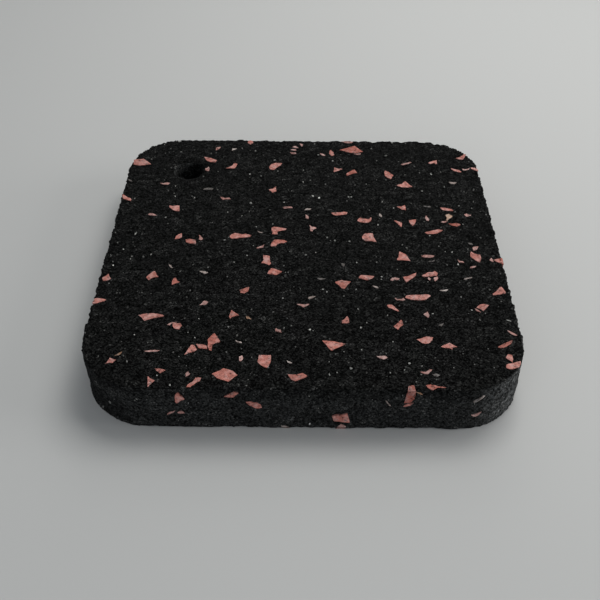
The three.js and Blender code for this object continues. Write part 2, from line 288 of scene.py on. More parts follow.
# Pale grit on the top face: x, y, and the bit's size across and along, in millimetres.
TOP_GRIT = (
    (-37.0, 35.4, 1.3, 0.4),
    (-44.5, 39.4, 0.7, 0.8), (-36.3, 43.3, 1.1, 0.9), (-37.4, 49.3, 1.6, 1.1), (-27.4, 42.6, 0.5, 1.2),
    (-37.1, 34.7, 0.5, 1.2), (-28.6, 30.6, 0.5, 0.8), (-36.0, 25.7, 0.5, 1.1), (-41.8, 47.5, 0.4, 0.7),
    (-39.6, 45.0, 0.9, 0.4), (-14.4, 44.2, 0.8, 0.9), (-8.6, 39.3, 0.9, 0.8), (-7.5, 33.6, 0.5, 0.8),
    (-12.2, 31.1, 0.6, 1.1), (-15.5, 32.0, 0.7, 0.8), (-0.2, 28.3, 0.4, 1.1), (-0.2, 34.1, 0.4, 0.9),
    (-18.4, 45.6, 0.4, 1.2), (4.2, 42.3, 1.0, 0.6), (24.1, 42.2, 1.3, 1.0), (8.4, 39.1, 0.7, 0.6),
    (10.7, 39.5, 0.5, 0.9), (3.1, 48.5, 0.7, 0.9), (1.8, 29.1, 0.8, 1.0), (17.5, 27.4, 0.5, 0.6),
    (14.4, 26.9, 0.4, 0.6), (25.6, 25.5, 0.7, 0.7), (20.0, 46.0, 0.4, 0.9), (32.0, 36.6, 0.6, 1.1),
    (36.4, 32.6, 0.6, 1.2), (39.2, 33.8, 0.9, 0.5), (39.4, 26.3, 0.6, 0.9), (47.5, 25.3, 0.4, 0.9),
    (26.4, 49.3, 0.7, 0.9), (33.1, 33.2, 0.4, 1.1), (32.9, 24.2, 1.1, 0.8), (-37.7, 23.4, 0.5, 1.0),
    (-35.9, 22.2, 0.6, 0.9), (-30.1, 20.2, 0.4, 1.1), (-49.2, 4.2, 0.4, 0.9), (-47.9, -0.1, 0.5, 0.9),
    (-36.9, 11.0, 0.5, 0.8), (-46.5, 19.7, 0.3, 0.6), (-24.3, 8.9, 0.4, 1.2), (-14.5, 17.9, 1.2, 1.1),
    (-5.4, 18.4, 0.7, 1.0), (-20.5, 13.6, 0.5, 1.0), (-12.5, 7.2, 0.5, 0.8), (-20.5, 1.4, 1.0, 0.8),
    (-3.4, 23.8, 0.5, 0.6), (-4.3, 24.1, 0.3, 0.5), (-16.6, 12.0, 0.5, 1.1), (-14.7, 14.0, 0.4, 0.8),
    (-12.9, -0.8, 0.5, 0.9), (-9.0, 0.5, 0.4, 0.6), (2.5, 21.4, 1.0, 1.2), (12.3, 21.1, 0.8, 0.8),
    (13.1, 21.1, 0.7, 0.8), (14.1, 24.0, 0.4, 0.6), (21.5, 19.0, 0.4, 1.2), (3.8, 12.5, 0.6, 0.6),
    (19.7, 8.4, 0.8, 1.0), (8.1, 1.6, 0.8, 0.7), (11.9, 1.3, 0.8, 0.9), (6.2, 2.8, 0.8, 0.8),
    (20.3, 11.3, 0.4, 0.5), (17.8, 15.0, 0.4, 0.7), (42.3, 17.4, 0.5, 0.9), (46.5, 19.3, 0.5, 1.0),
    (45.6, 16.3, 0.6, 0.5), (49.1, 13.5, 0.5, 0.7), (49.7, 12.9, 0.5, 0.5), (40.9, 14.6, 0.4, 0.8),
    (42.3, 9.0, 0.4, 0.8), (36.3, 7.5, 0.3, 1.0), (32.9, 4.0, 0.6, 0.6), (34.8, -0.5, 0.7, 0.9),
    (26.5, -1.2, 0.8, 1.1), (24.4, 16.0, 0.4, 0.9), (28.2, 15.7, 0.4, 0.8), (-46.0, -2.8, 0.6, 0.7),
    (-43.4, -5.6, 0.7, 0.9), (-43.6, -6.6, 0.4, 0.8), (-47.8, -7.7, 0.5, 0.5), (-48.9, -4.9, 0.4, 0.9),
    (-38.7, -4.8, 0.4, 0.9), (-30.6, -11.3, 0.4, 0.7), (-44.2, -19.4, 0.4, 0.9), (-27.4, -18.4, 0.5, 0.8),
    (-47.4, -16.0, 0.5, 0.5), (-27.6, -8.6, 0.3, 0.8), (-14.3, -4.8, 0.4, 0.7), (-17.4, -7.5, 0.5, 1.1),
    (0.6, -4.4, 0.8, 1.2), (-4.9, -20.9, 0.4, 0.8), (-4.4, -11.3, 0.4, 0.5), (-3.8, -11.3, 0.4, 0.4),
    (-4.9, -8.8, 0.4, 0.5), (-12.2, -25.0, 0.5, 0.5), (-0.7, -17.4, 0.3, 0.8), (-24.0, -15.0, 0.4, 0.5),
    (-23.8, -9.6, 0.4, 0.6), (3.1, -3.4, 0.5, 0.6), (19.3, -12.7, 0.8, 0.6), (19.2, -13.7, 0.5, 0.6),
    (5.7, -18.5, 0.6, 0.7), (13.0, -24.6, 0.5, 1.0), (18.4, -7.1, 0.5, 0.6), (23.4, -9.8, 0.4, 0.5),
    (13.4, -7.3, 0.5, 0.8), (12.8, -17.5, 0.5, 0.5), (37.9, -2.8, 0.5, 0.8), (36.2, -2.7, 0.4, 0.8),
    (48.8, -11.2, 0.4, 0.9), (47.3, -21.4, 0.4, 0.8), (39.8, -24.6, 0.6, 0.7), (36.0, -7.9, 0.6, 0.6),
    (30.5, -14.5, 0.4, 0.6), (30.5, -25.9, 0.9, 0.4), (37.9, -20.0, 0.4, 0.7), (-28.6, -49.1, 0.5, 1.0),
    (-31.7, -46.3, 0.4, 0.6), (-38.9, -42.2, 0.5, 0.9), (-45.5, -40.7, 0.6, 0.5), (-38.5, -33.8, 0.4, 0.5),
    (-27.5, -37.7, 0.5, 0.6), (-26.4, -32.9, 0.5, 0.6), (-24.6, -34.6, 0.4, 0.6), (-49.8, -33.3, 0.5, 0.9),
    (-25.6, -43.4, 0.3, 0.5), (-44.7, -47.0, 0.3, 0.9), (-2.7, -30.4, 0.6, 0.6), (-4.4, -31.1, 0.4, 0.7),
    (-3.7, -27.9, 0.4, 0.5), (-9.1, -27.6, 0.4, 0.6), (-24.3, -28.3, 0.5, 0.5), (-17.3, -31.0, 0.5, 0.8),
    (-13.0, -35.3, 0.5, 0.4), (-11.8, -47.4, 0.4, 0.5), (-6.8, -50.0, 0.3, 0.7), (2.3, -32.0, 0.4, 0.3),
    (13.3, -30.8, 0.7, 0.8), (19.8, -26.7, 0.4, 0.8), (20.4, -35.4, 0.5, 0.6), (13.2, -38.0, 0.5, 0.9),
    (9.2, -38.7, 0.4, 0.4), (10.6, -43.8, 1.0, 1.1), (23.6, -42.1, 1.0, 0.8), (19.1, -45.0, 0.5, 0.5),
    (18.6, -39.1, 0.4, 0.5), (22.3, -44.1, 0.4, 0.9), (5.8, -45.6, 0.3, 1.2), (7.5, -45.1, 0.4, 0.5),
    (5.8, -41.8, 0.3, 0.4), (14.8, -29.2, 0.4, 0.5), (23.9, -28.7, 0.4, 0.7), (48.0, -28.1, 1.8, 0.4),
    (26.2, -42.9, 0.7, 0.5), (37.9, -42.3, 0.5, 0.4), (42.1, -43.2, 0.4, 0.4), (33.2, -43.3, 0.4, 0.5),
    (42.9, -25.7, 0.4, 0.8), (28.1, -31.0, 0.3, 0.8), (41.7, -37.4, 0.4, 0.5),
)
TOP_BRIGHT_GRIT = (
    (-35.5, 20.8, 0.5, 1.2), (-43.9, 3.8, 0.8, 1.3), (4.2, 20.6, 0.8, 1.1), (-47.6, -9.1, 0.6, 0.9),
    (4.8, -17.6, 0.7, 0.8), (38.8, -7.7, 0.8, 0.7), (1.6, -31.7, 0.8, 0.8),
)
FRONT_GRIT = (
    (-24.9, 7.8, 0.5, 0.8), (-24.9, 3.0, 0.6, 1.0), (-36.6, 5.7, 0.3, 0.3), (-24.0, 11.5, 0.5, 0.5),
    (1.4, 8.2, 0.5, 0.5), (1.4, 10.4, 0.4, 0.7), (12.9, 11.6, 0.4, 0.6), (6.4, 5.3, 0.3, 0.3),
    (15.1, 9.4, 0.3, 0.3), (28.8, 4.6, 0.4, 0.4), (21.6, 10.9, 0.4, 0.6), (21.5, 9.6, 0.3, 0.3),
    (18.6, 9.4, 0.4, 0.4), (27.2, 3.1, 0.4, 0.5), (37.4, 8.3, 0.3, 0.3),
)
FRONT_BRIGHT_GRIT = (
    (-9.1, 6.1, 0.5, 0.5), (1.6, 1.1, 0.5, 1.0),
)


class GymTileCrumbSettings(bpy.types.PropertyGroup):
    """Sizes and colours of the bonded black crumb."""

    corner_radius: FloatProperty(
        name="Corner Radius",
        description="Radius of the slab's four upright corners",
        default=15 * MM,
        unit="LENGTH",
    )
    hole_from_left: FloatProperty(
        name="Hole From Left",
        description="From the left edge to the middle of the hanging hole",
        default=17 * MM,
        unit="LENGTH",
    )
    hole_from_back: FloatProperty(
        name="Hole From Back",
        description="From the back edge to the middle of the hanging hole",
        default=16 * MM,
        unit="LENGTH",
    )
    hole_radius: FloatProperty(
        name="Hole Radius",
        description="Radius of the hanging hole",
        default=4 * MM,
        unit="LENGTH",
    )
    worn_edge: FloatProperty(
        name="Worn Edge",
        description="How far the crumb has worn back where a face meets a wall",
        default=0.4 * MM,
        unit="LENGTH",
    )
    arris_lift: FloatProperty(
        name="Arris Lift",
        description="How far whole crumbs stand out of the worn edge's slope",
        default=0.45 * MM,
        unit="LENGTH",
    )
    granule_size: FloatProperty(
        name="Granule Size",
        description="Width of a typical black granule",
        default=1.7 * MM,
        unit="LENGTH",
    )
    mesh_cell: FloatProperty(
        name="Mesh Cell",
        description="Size of the cells that the slab's surface is divided into",
        default=0.52 * MM,
        unit="LENGTH",
    )
    seam_depth: FloatProperty(
        name="Seam Depth",
        description="Depth of the widest open seams between granules",
        default=0.18 * MM,
        unit="LENGTH",
    )
    wall_roughness: FloatProperty(
        name="Wall Roughness",
        description="How far granules stand in or out on the cut walls",
        default=0.26 * MM,
        unit="LENGTH",
    )
    dark_colour: FloatVectorProperty(
        name="Dark Granules",
        description="Colour of the darkest black granules",
        default=(0.0006, 0.0007, 0.0007),
        subtype="COLOR",
    )
    middle_colour: FloatVectorProperty(
        name="Middling Granules",
        description="Colour of the most common black granules",
        default=(0.0063, 0.0066, 0.0066),
        subtype="COLOR",
    )
    light_colour: FloatVectorProperty(
        name="Light Granules",
        description="Colour of the palest black granules",
        default=(0.05, 0.05, 0.049),
        subtype="COLOR",
    )
    # Painted light: what this adds is partly rubbed crumb and partly painted light, most on the front-right
    # corner wall, where light from the right falls, and on the hanging hole's left wall
    scuff_and_painted_light_colour: FloatVectorProperty(
        name="Scuff And Painted Light",
        description="What the rubbed corner adds to the colour of the crumb",
        default=(0.058, 0.06, 0.061),
        subtype="COLOR",
    )


class GymTileFleckSettings(bpy.types.PropertyGroup):
    """Sizes and colours of the coloured flecks."""

    proud: FloatProperty(
        name="Proud",
        description="How far a fleck's sliced face stands above the crumb around it",
        default=0.03 * MM,
        unit="LENGTH",
    )
    wall_proud: FloatProperty(
        name="Proud On Walls",
        description="How far a fleck's cut face stands out of the slab's plain wall",
        default=0.28 * MM,
        unit="LENGTH",
    )
    depth: FloatProperty(
        name="Depth",
        description="How deep a fleck reaches into the slab",
        default=1.4 * MM,
        unit="LENGTH",
    )
    typical_size: FloatProperty(
        name="Typical Size",
        description="Length of a typical fleck on the faces that hold scattered ones",
        default=2.6 * MM,
        unit="LENGTH",
    )
    underside_count: IntProperty(
        name="Underside Flecks",
        description="How many flecks are scattered over the underside",
        default=135,
    )
    wall_count: IntProperty(
        name="Wall Flecks",
        description="How many flecks are scattered over the side and back walls",
        default=42,
    )
    terracotta: FloatVectorProperty(
        name="Terracotta",
        description="Colour of the terracotta flecks",
        default=(0.345, 0.107, 0.081),
        subtype="COLOR",
    )
    # Painted shade: partly the fleck's own darker red-brown and partly painted shade on the slanted front
    # edge
    brick_and_painted_shade: FloatVectorProperty(
        name="Brick And Painted Shade",
        description="Colour of the darker fleck that wraps over the front edge",
        default=(0.28, 0.083, 0.063),
        subtype="COLOR",
    )
    pink: FloatVectorProperty(
        name="Pale Pink",
        description="Colour of the thin, paler flecks",
        default=(0.33, 0.16, 0.14),
        subtype="COLOR",
    )
    grey: FloatVectorProperty(
        name="Grey",
        description="Colour of the few grey flecks",
        default=(0.1, 0.088, 0.083),
        subtype="COLOR",
    )
    tan: FloatVectorProperty(
        name="Tan",
        description="Colour of the few tan flecks",
        default=(0.27, 0.15, 0.09),
        subtype="COLOR",
    )
    whitish: FloatVectorProperty(
        name="Whitish",
        description="Colour of the few whitish slivers",
        default=(0.27, 0.215, 0.195),
        subtype="COLOR",
    )


class GymTileGritSettings(bpy.types.PropertyGroup):
    """Amounts and colour of the pale grit."""

    proud: FloatProperty(
        name="Proud",
        description="How far a bit's sliced face stands above the crumb around it",
        default=0.02 * MM,
        unit="LENGTH",
    )
    wall_proud: FloatProperty(
        name="Proud On Walls",
        description="How far a bit's cut face stands out of the slab's plain wall",
        default=0.26 * MM,
        unit="LENGTH",
    )
    top_count: IntProperty(
        name="Faint Top Grit",
        description="How many faint bits are scattered over the top face between the bold ones",
        default=240,
    )
    underside_count: IntProperty(
        name="Underside Grit",
        description="How many bits are scattered over the underside",
        default=340,
    )
    wall_count: IntProperty(
        name="Wall Grit",
        description="How many bits are scattered over the walls",
        default=130,
    )
    colour: FloatVectorProperty(
        name="Grit",
        description="Colour of the brightest grit",
        default=(0.4, 0.4, 0.38),
        subtype="COLOR",
    )


class GymTileStageSettings(bpy.types.PropertyGroup):
    """Floor colour and light powers."""

    floor_colour: FloatVectorProperty(
        name="Floor",
        description="Colour of the plain pale floor",
        default=(0.5, 0.505, 0.505),
        subtype="COLOR",
    )
    key_power: FloatProperty(
        name="Key Light",
        description="Power of the soft light at the right",
        default=1.15,
        unit="POWER",
    )
    top_power: FloatProperty(
        name="Top Light",
        description="Power of the soft light above the back",
        default=1.42,
        unit="POWER",
    )
    back_power: FloatProperty(
        name="Back Light",
        description="Power of the low wide light far behind",
        default=1.2,
        unit="POWER",
    )
    fill_power: FloatProperty(
        name="Fill Light",
        description="Power of the broad weak light in front",
        default=0.95,
        unit="POWER",
    )
    sky_strength: FloatProperty(
        name="Surround",
        description="Strength of the even light from all round",
        default=0.27,
    )


def smooth_step(value, low, high):
    """Rises smoothly from 0 at low to 1 at high."""
    share = min(max((value - low) / (high - low), 0), 1)
    return share * share * (3 - 2 * share)


class Slab:
    """The slab's sizes in millimetres, from the frame and the panel's settings."""

    def __init__(self, settings):
        self.corner = settings.corner_radius / MM
        self.worn = settings.worn_edge / MM
        self.arris_lift = settings.arris_lift / MM
        self.hole_x = settings.hole_from_left / MM - HALF_WIDTH
        self.hole_y = HALF_DEPTH - settings.hole_from_back / MM
        self.hole_radius = settings.hole_radius / MM

    def depth_from_wall(self, x, y):
        """How far inside the slab's outline a point lies."""
        across = abs(x) - (HALF_WIDTH - self.corner)
        along = abs(y) - (HALF_DEPTH - self.corner)
        past_straight = math.hypot(max(across, 0), max(along, 0))
        return self.corner - past_straight - min(max(across, along), 0)

    def depth_from_hole(self, x, y):
        """How far outside the hanging hole a point lies."""
        return math.hypot(x - self.hole_x, y - self.hole_y) - self.hole_radius

    def reach(self, angle):
        """How far the outline reaches from the middle in a direction."""
        straight_x = (HALF_WIDTH - self.corner) * abs(math.cos(angle))
        straight_y = (HALF_DEPTH - self.corner) * abs(math.sin(angle))
        return straight_x + straight_y + self.corner

    def skin(self, face_proud, wall_proud):
        """The planes that bound the slab, each as its outward normal and its reach along it."""
        planes = [(Vector((0, 0, 1)), THICKNESS + face_proud), (Vector((0, 0, -1)), face_proud)]
        directions = 48
        tooth_clearance = 0.15
        for step in range(directions):
            angle = step * math.tau / directions
            outward = Vector((math.cos(angle), math.sin(angle), 0))
            reach = self.reach(angle)
            planes.append((outward, reach + wall_proud))
            for side, level in ((1, THICKNESS), (-1, 0)):
                slant = (outward + Vector((0, 0, side))).normalized()
                slant_reach = (reach - self.worn + side * level) / math.sqrt(2) + self.arris_lift
                planes.append((slant, slant_reach + tooth_clearance))
        return planes

    def wall_place(self, angle, along, height):
        """A matrix whose X runs along the wall, Y up it and Z outward, at a point of the wall."""
        outward = Vector((math.cos(angle), math.sin(angle), 0))
        sideways = Vector((-math.sin(angle), math.cos(angle), 0))
        point = outward * self.reach(angle) + sideways * along + Vector((0, 0, height))
        return place(point, sideways, Vector((0, 0, 1)), outward)

    def corner_place(self, angle, height):
        """The same on a rounded corner, at the point that faces the angle."""
        outward = Vector((math.cos(angle), math.sin(angle), 0))
        sideways = Vector((-math.sin(angle), math.cos(angle), 0))
        middle = Vector((
            math.copysign(HALF_WIDTH - self.corner, outward.x),
            math.copysign(HALF_DEPTH - self.corner, outward.y),
            height,
        ))
        return place(middle + outward * self.corner, sideways, Vector((0, 0, 1)), outward)


def place(point, across, along, outward):
    """A matrix that puts flat shapes on a face, from the face's two directions and its normal."""
    turned = Matrix((across, along, outward)).transposed()
    return Matrix.Translation(point) @ turned.to_4x4()


def top_place():
    return Matrix.Translation((0, 0, THICKNESS))


def underside_place():
    return place(Vector((0, 0, 0)), Vector((-1, 0, 0)), Vector((0, 1, 0)), Vector((0, 0, -1)))


def front_place():
    return place(Vector((0, -HALF_DEPTH, 0)), Vector((1, 0, 0)), Vector((0, 0, 1)), Vector((0, -1, 0)))


def granule_at(point, size):
    """How close a point is to the seam around its granule, from 0 to 1, and the granule's lot."""
    distances, centres = noise.voronoi(Vector((point.x / GRANULE_STRETCH, point.y, point.z)) / size)
    seam = 1 - smooth_step(distances[1] - distances[0], 0, SEAM_WIDTH)
    return seam, noise.cell(centres[0] * LOT_SPREAD)


def paleness(point, wall, slab):
    """How pale the crumb is, partly its own colour and partly painted light: the walls more than the faces,
    and most of all the front-right corner wall, rubbed and painted as lit from the right.
    """
    plain_wall = 0.03
    low_wall = 0.08
    scuffed_and_painted_lit_wall = 0.89
    # Share of painted light on the hanging hole's left wall
    painted_lit_hole = 0.25
    outer_wall_depth = 2
    if slab.depth_from_wall(point.x, point.y) > outer_wall_depth:
        # The hanging hole's left wall is painted paler: painted light from the right, which falls on that
        # wall
        return painted_lit_hole * wall * smooth_step(slab.hole_x - point.x, -2, slab.hole_radius)
    across = point.x - (HALF_WIDTH - slab.corner)
    along = -point.y - (HALF_DEPTH - slab.corner)
    # The front-right corner wall is paler in patches: rubbed crumb and painted light from the right
    scuffed_and_painted_lit = 0.0
    if across > 0:
        round_corner = math.degrees(math.atan2(max(along, 0), across))
        scuffed_and_painted_lit = smooth_step(90 - round_corner, 0, 45) * smooth_step(along, -12, 0)
        scuffed_and_painted_lit *= 0.75 + 0.5 * noise.noise(point * 0.8)
    below_edge = smooth_step(THICKNESS - point.z, 0, 5)
    # Walls are paler than the faces, more so further below the top edge: partly their own colour and partly
    # painted light
    return wall * (plain_wall + low_wall * below_edge + scuffed_and_painted_lit_wall * scuffed_and_painted_lit)


def seam_depth_at(point, settings):
    """How deep the seams are at a point: they are open here and nearly shut there."""
    shut = 0.25
    patches = 0.33
    openness = smooth_step(noise.noise(point * patches), -0.25, 0.45)
    return (shut + (1 - shut) * openness) * settings.seam_depth / MM


def sliced_face_height(seam, lot, seam_depth):
    """Sliced faces have level granules, and a few that were torn out."""
    unevenness = 0.035
    below_plain = 0.045
    torn_lot = 0.96
    torn_depth = 0.3
    height = unevenness * lot - below_plain - seam_depth * seam
    if lot > torn_lot:
        height -= torn_depth * (1 - seam)
    return height


def cut_wall_height(point, seam, lot, seam_depth, slab, settings):
    """On cut walls granules and clumps stand in or out, with streaks where the blade ran down."""
    clump_size = 2.4 * (settings.granule_size / MM)
    clump_shift = Vector((31, 17, 5))
    beyond_plain = 0.14
    most = 0.26
    clump_seam, clump_lot = granule_at(point + clump_shift, clump_size)
    streak = noise.noise(Vector((point.x * 1.1, point.y * 1.1, point.z * 0.12)))
    uneven = settings.wall_roughness / MM * (0.55 * lot + 0.6 * clump_lot + 0.4 * streak)
    height = min(uneven + beyond_plain, most) - (0.6 * seam_depth * seam + 0.08 * clump_seam)

    # The cut leans in towards the underside round the front left corner
    lean = 0.8
    round_corner = min(-point.x - (HALF_WIDTH - slab.corner), -point.y - (HALF_DEPTH - slab.corner))
    return height - lean * smooth_step(round_corner, 0, 8) * (1 - point.z / THICKNESS)


def edge_change(point, facing, lot, slab, settings):
    """Along edges sharp crumbs stand out, and along the top edge others have broken away."""
    tooth_size = 0.85 * (settings.granule_size / MM)
    tooth_shift = Vector((3, 8, 1))
    chip_shift = Vector((9, 4, 2))
    chipped_width = 1.5
    from_edge = math.hypot(min(point.z, THICKNESS - point.z), slab.depth_from_wall(point.x, point.y))
    near_edge = smooth_step(0.9 - from_edge, 0, 0.6)
    slope = smooth_step(min(abs(facing.z), math.hypot(facing.x, facing.y)), 0.1, 0.6)
    change = near_edge * slope * slab.arris_lift
    if point.z > THICKNESS / 2:
        tooth_seam, tooth_lot = granule_at(point + tooth_shift, tooth_size)
        change += near_edge * (0.13 * slope * tooth_lot - 0.18 * tooth_seam)
        chip = max(noise.noise(point * 0.42 + chip_shift) + 0.3 * lot - 0.2, 0)
        change -= smooth_step(chipped_width - from_edge, 0, chipped_width) * chip
    return change


def rim_wear(point, lot, slab):
    """How far the hanging hole's two rims are worn back."""
    worn_width = 1.6
    from_face = min(point.z, THICKNESS - point.z)
    from_rim = math.hypot(from_face, slab.depth_from_hole(point.x, point.y))
    return smooth_step(worn_width - from_rim, 0, worn_width) * (0.12 + 0.5 * max(lot, 0))


def crumb_height(point, facing, slab, settings):
    """How far the crumb stands out at a point of the plain slab, and how much of a wall it is."""
    seam, lot = granule_at(point, settings.granule_size / MM)
    seam_depth = seam_depth_at(point, settings)
    wall = 1 - smooth_step(abs(facing.z), 0.35, 0.85)
    on_face = sliced_face_height(seam, lot, seam_depth)
    on_wall = cut_wall_height(point, seam, lot, seam_depth, slab, settings)
    height = on_face + wall * (on_wall - on_face)
    height += edge_change(point, facing, lot, slab, settings)
    return height - rim_wear(point, lot, slab), wall


def bring_in(name, mesh, material):
    """Makes a finished piece from a mesh in millimetres."""
    mesh.transform(Matrix.Scale(MM, 4))
    mesh.materials.append(material)
    mesh.update()
    piece = bpy.data.objects.new(name, mesh)
    bpy.context.scene.collection.objects.link(piece)
    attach(piece, "root")
    return piece


def merged_slab_mesh():
    """A copy of the plain slab in millimetres, with its shared corners merged."""
    bm = bmesh.new()
    bm.from_mesh(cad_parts["tile"].data)
    bmesh.ops.remove_doubles(bm, verts=bm.verts, dist=0.001 * MM)
    bmesh.ops.scale(bm, verts=bm.verts, vec=Vector((1, 1, 1)) / MM)
    mesh = bpy.data.meshes.new("plain_slab")
    bm.to_mesh(mesh)
    bm.free()
    return mesh


def even_cells(mesh, cell):
    """The same shape divided into even cells by a voxel remesh."""
    holder = bpy.data.objects.new("plain_slab", mesh)
    bpy.context.scene.collection.objects.link(holder)
    remesh = holder.modifiers.new("even_cells", "REMESH")
    remesh.mode = "VOXEL"
    remesh.voxel_size = cell
    evaluated = holder.evaluated_get(bpy.context.evaluated_depsgraph_get())
    made = bpy.data.meshes.new_from_object(evaluated)
    bpy.data.objects.remove(holder)
    bpy.data.meshes.remove(mesh)
    return made


def store_on_points(mesh, name, values):
    mesh.attributes.new(name, "FLOAT", "POINT").data.foreach_set("value", values)


def add_node(tree, kind, inputs=(), **settings):
    """Adds a shader node, with its settings and with values or links for its inputs."""
    node = tree.nodes.new(kind)
    for name, value in settings.items():
        setattr(node, name, value)
    for name, value in dict(inputs).items():
        if isinstance(value, bpy.types.NodeSocket):
            tree.links.new(value, node.inputs[name])
        else:
            node.inputs[name].default_value = value
    return node


def add_ramp(tree, factor, stops):
    """Adds a colour ramp and returns its colour."""
    ramp = add_node(tree, "ShaderNodeValToRGB", {"Fac": factor})
    elements = ramp.color_ramp.elements
    while len(elements) < len(stops):
        elements.new(1)
    for element, (position, colour) in zip(elements, stops):
        element.position = position
        element.color = (*colour, 1)
    return ramp.outputs["Color"]


def add_range(tree, value, low, high, to_low=0.0, to_high=1.0):
    """Maps a value from one range to another and returns it."""
    inputs = {"Value": value, "From Min": low, "From Max": high, "To Min": to_low, "To Max": to_high}
    return add_node(tree, "ShaderNodeMapRange", inputs).outputs["Result"]


def add_math(tree, operation, first, second):
    return add_node(tree, "ShaderNodeMath", {0: first, 1: second}, operation=operation).outputs[0]


def scaled_colour(tree, colour, factor):
    """A colour brightened or darkened by a factor that varies over the surface."""
    mix = add_node(tree, "ShaderNodeVectorMath", {0: colour, "Scale": factor}, operation="SCALE")
    return mix.outputs["Vector"]


def new_material(name):
    """A material with the usual shader, and the object's place in millimetres."""
    material = bpy.data.materials.new(name)
    material.use_nodes = True
    tree = material.node_tree
    shader = tree.nodes["Principled BSDF"]
    coordinates = add_node(tree, "ShaderNodeTexCoord").outputs["Object"]
    scale = Vector((1, 1, 1)) / MM
    millimetres = add_node(tree, "ShaderNodeMapping", {"Vector": coordinates, "Scale": scale})
    return material, tree, shader, millimetres.outputs["Vector"]


def add_voronoi(tree, vector, width, feature="F1"):
    inputs = {"Vector": vector, "Scale": 1 / width}
    return add_node(tree, "ShaderNodeTexVoronoi", inputs, feature=feature)


def add_noise(tree, vector, width, detail=2.0, roughness=0.5):
    inputs = {"Vector": vector, "Scale": 1 / width, "Detail": detail, "Roughness": roughness}
    return add_node(tree, "ShaderNodeTexNoise", inputs)


def add_bump(tree, height, distance, strength, before=None):
    inputs = {"Height": height, "Distance": distance * MM, "Strength": strength}
    if before is not None:
        inputs["Normal"] = before
    return add_node(tree, "ShaderNodeBump", inputs).outputs["Normal"]


def crumb_material(settings):
    """Near-black bonded crumb, with a tint of its own for each granule and darker seams."""
    material, tree, shader, place_mm = new_material("bonded_black_crumb")
    granule = settings.granule_size / MM
    bend_width = 1.8
    bend_reach = 1.3
    crumb_width = 0.31
    dust_width = 0.28
    scuff_and_light_patch_width = 0.75

    # Bends the granules' outlines and makes them longer along X
    drift = add_noise(tree, place_mm, bend_width).outputs["Color"]
    drift = add_node(tree, "ShaderNodeVectorMath", {0: drift, 1: (0.5, 0.5, 0.5)}, operation="SUBTRACT")
    bent = add_node(
        tree,
        "ShaderNodeVectorMath",
        {0: drift.outputs[0], 1: (bend_reach, bend_reach, bend_reach), 2: place_mm},
        operation="MULTIPLY_ADD",
    )
    lie = {"Vector": bent.outputs[0], "Scale": (1 / GRANULE_STRETCH, 1, 1)}
    lying = add_node(tree, "ShaderNodeMapping", lie).outputs["Vector"]

    granules = add_voronoi(tree, lying, granule)
    seams = add_voronoi(tree, lying, granule, "DISTANCE_TO_EDGE").outputs["Distance"]
    crumbs = add_voronoi(tree, place_mm, crumb_width)
    dust = add_noise(tree, place_mm, dust_width, 2.0, 0.7).outputs["Fac"]

    # Each granule's own lot, and those of the finer crumbs in it, choose a black from dark to light
    granule_lot = add_node(tree, "ShaderNodeSeparateColor", {"Color": granules.outputs["Color"]})
    crumb_lot = add_node(tree, "ShaderNodeSeparateColor", {"Color": crumbs.outputs["Color"]})
    lots = add_math(tree, "MULTIPLY", granule_lot.outputs[0], 0.2)
    lots = add_math(tree, "ADD", lots, add_math(tree, "MULTIPLY", crumb_lot.outputs[0], 0.8))
    middle = Vector(settings.middle_colour)
    light = Vector(settings.light_colour)
    stops = (
        (0.22, Vector(settings.dark_colour)),
        (0.5, middle),
        (0.86, middle.lerp(light, 0.26)),
        (0.98, light),
    )
    colour = add_ramp(tree, lots, stops)

    # Seams are darker, pits get painted shade that deepens with their depth, the dust noise makes the crumb
    # darker or paler, and walls are paler, partly as painted light
    seam_shade = add_range(tree, seams, 0.0, 0.1, 0.4, 1.0)
    pale = add_node(tree, "ShaderNodeAttribute", attribute_name="pale").outputs["Fac"]
    pit_shade = add_node(tree, "ShaderNodeAttribute", attribute_name="pit_shade").outputs["Fac"]
    # Painted shade in pits, darker the deeper they are
    shade = add_math(tree, "MULTIPLY", seam_shade, add_range(tree, pit_shade, 0.15, 1.0, 1.0, 0.35))
    shade = add_math(tree, "MULTIPLY", shade, add_range(tree, dust, 0.3, 0.75, 0.4, 2.0))
    # Paler walls: partly the crumb's own colour and partly painted light
    shade = add_math(tree, "MULTIPLY", shade, add_range(tree, pale, 0.0, 0.1, 1.0, 1.6))
    colour = scaled_colour(tree, colour, shade)

    # Rubbed crumb and painted light are added on top where the crumb is pale, in patches and crumb by crumb:
    # most on the front-right corner wall and the hanging hole's left wall
    scuff_and_light_patches = add_noise(tree, place_mm, scuff_and_light_patch_width, 2.0, 0.7).outputs["Fac"]
    scuff_and_painted_light = add_math(tree, "MULTIPLY", pale, add_range(tree, scuff_and_light_patches, 0.36, 0.66, 0.0, 1.9))
    scuff_and_painted_light = add_math(tree, "MULTIPLY", scuff_and_painted_light, add_range(tree, crumb_lot.outputs[1], 0.0, 1.0, 0.2, 2.1))
    scuff_and_painted_light = scaled_colour(tree, settings.scuff_and_painted_light_colour, scuff_and_painted_light)
    colour = add_node(tree, "ShaderNodeVectorMath", {0: colour, 1: scuff_and_painted_light}, operation="ADD").outputs[0]
    tree.links.new(colour, shader.inputs["Base Color"])

    fine = add_bump(tree, dust, 0.12, 0.7)
    fine = add_bump(tree, crumb_lot.outputs[1], 0.1, 0.6, fine)
    deep = add_bump(tree, seam_shade, 0.08, 0.7, fine)
    tree.links.new(deep, shader.inputs["Normal"])
    roughness = add_range(tree, crumb_lot.outputs[2], 0.0, 1.0, 0.72, 0.95)
    tree.links.new(roughness, shader.inputs["Roughness"])
    shader.inputs["Specular IOR Level"].default_value = 0.02
    return material


